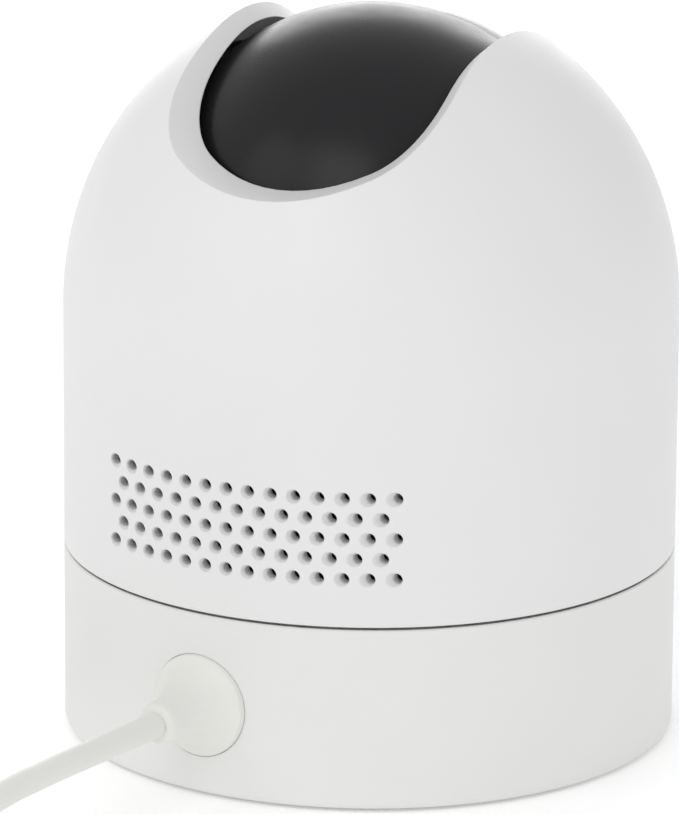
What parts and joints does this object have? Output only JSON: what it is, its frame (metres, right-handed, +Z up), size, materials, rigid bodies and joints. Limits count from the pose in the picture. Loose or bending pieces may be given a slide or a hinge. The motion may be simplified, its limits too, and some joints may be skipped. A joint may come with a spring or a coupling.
{
  "type": "security camera",
  "caption": "Pan and tilt indoor security camera: round base, domed turning body with speaker grille, and a ball head that tilts in a saddle.",
  "frame": {"origin": "middle of the face it stands on, under the pan axis", "axes": "+Z up along the pan axis, -Y the way the lens looks at rest, +X to the right for someone standing behind the camera and looking the way it looks, and the tilt axis runs along X"},
  "size_m": [0.109, 0.1686, 0.0943],
  "materials": {
    "shell_white": "satin moulded white plastic",
    "base_white": "satin moulded white plastic, a little warmer",
    "ball_black": "satin black plastic",
    "ring_grey": "satin light grey plastic",
    "window_black": "polished smoked acrylic",
    "lens_black": "black anodised look",
    "glass": "coated lens glass",
    "cover_grey": "fine-textured plastic",
    "frame_plastic": "glass-filled plastic",
    "yoke_plastic": "moulded plastic",
    "bearing_plastic": "acetal",
    "rubber": "silicone rubber",
    "brass": "turned brass",
    "steel": "zinc-plated steel",
    "motor_steel": "pressed steel can",
    "board_green": "solder-masked circuit board",
    "board_white": "white solder mask",
    "shield_steel": "tin-plated steel",
    "antenna_copper": "amber film",
    "speaker_black": "coated paper cone and plastic basket",
    "felt_black": "acoustic felt",
    "led_yellow": "clear epoxy",
    "light_pipe": "clear light pipe",
    "cable_black": "insulated wire",
    "cord_white": "soft PVC sheath",
    "plug_white": "moulded PVC",
    "plug_steel": "nickel-plated steel",
    "tie_dark": "soft wire tie"
  },
  "bodies": {
    "root": {"base_shell": "base_white", "base_cover": "cover_grey", "foot_pad": "rubber", "tripod_insert": "brass", "base_screws": "steel", "ballast_plate": "steel", "power_board": "board_green", "usb_socket": "shield_steel", "reset_switch": "lens_black", "reset_spring": "steel", "pan_motor": "motor_steel", "pan_bush": "bearing_plastic", "plug_boot": "plug_white", "plug_tip": "plug_steel", "power_cord": "cord_white", "cord_coil": "cord_white", "coil_tie": "tie_dark", "cord_tail": "cord_white", "usb_plug_body": "plug_white", "usb_plug_shell": "plug_steel"},
    "reset_button": {"reset_button": "cover_grey"},
    "pan_pinion": {"pan_pinion": "bearing_plastic"},
    "pan_body": {"turntable": "yoke_plastic", "pan_gear": "bearing_plastic", "hub_clip": "steel", "body_shell": "shell_white", "body_screws": "steel", "main_board": "board_green", "processor_shield": "shield_steel", "wifi_antenna": "antenna_copper", "speaker": "speaker_black", "speaker_felt": "felt_black", "speaker_bracket": "shell_white", "yoke_left": "yoke_plastic", "yoke_right": "yoke_plastic", "tilt_bush": "bearing_plastic", "tilt_shaft": "steel", "head_cable": "cable_black", "pan_cable": "cable_black"},
    "head": {"head_rear_shell": "ball_black", "face_ring": "ring_grey", "face_window": "window_black", "lens_trim": "lens_black", "lens_glass": "glass", "lens_barrel": "lens_black", "lens_holder": "lens_black", "sensor_board": "board_green", "ir_board": "board_white", "ir_leds": "led_yellow", "light_sensor": "light_pipe", "status_light": "light_pipe", "microphone": "shield_steel", "head_frame": "frame_plastic", "tilt_motor": "motor_steel", "tilt_axle": "steel", "card_socket": "shield_steel", "head_screws": "steel"}
  },
  "joints": [
    {"name": "pan", "type": "hinge", "parent": "root", "child": "pan_body", "pos_m": [0, 0, 0.025], "axis": [0, 0, 1], "range_deg": [-170, 170]},
    {"name": "pinion_spin", "type": "hinge", "parent": "root", "child": "pan_pinion", "pos_m": [-0.02335, 0, 0.019], "axis": [0, 0, 1], "range_deg": [-816, 816]},
    {"name": "tilt", "type": "hinge", "parent": "pan_body", "child": "head", "pos_m": [0, 0, 0.0653], "axis": [-1, 0, 0], "range_deg": [-26, 70]},
    {"name": "reset_press", "type": "slide", "parent": "root", "child": "reset_button", "axis": [0, 0, 1], "range_m": [0, 0.0008], "stiffness_N_per_m": 300, "springref_m": -0.0003, "deforming": ["reset_spring"]}
  ],
  "couplings": [
    {"joint": "pinion_spin", "follows": "pan", "ratio": -4.8}
  ]
}
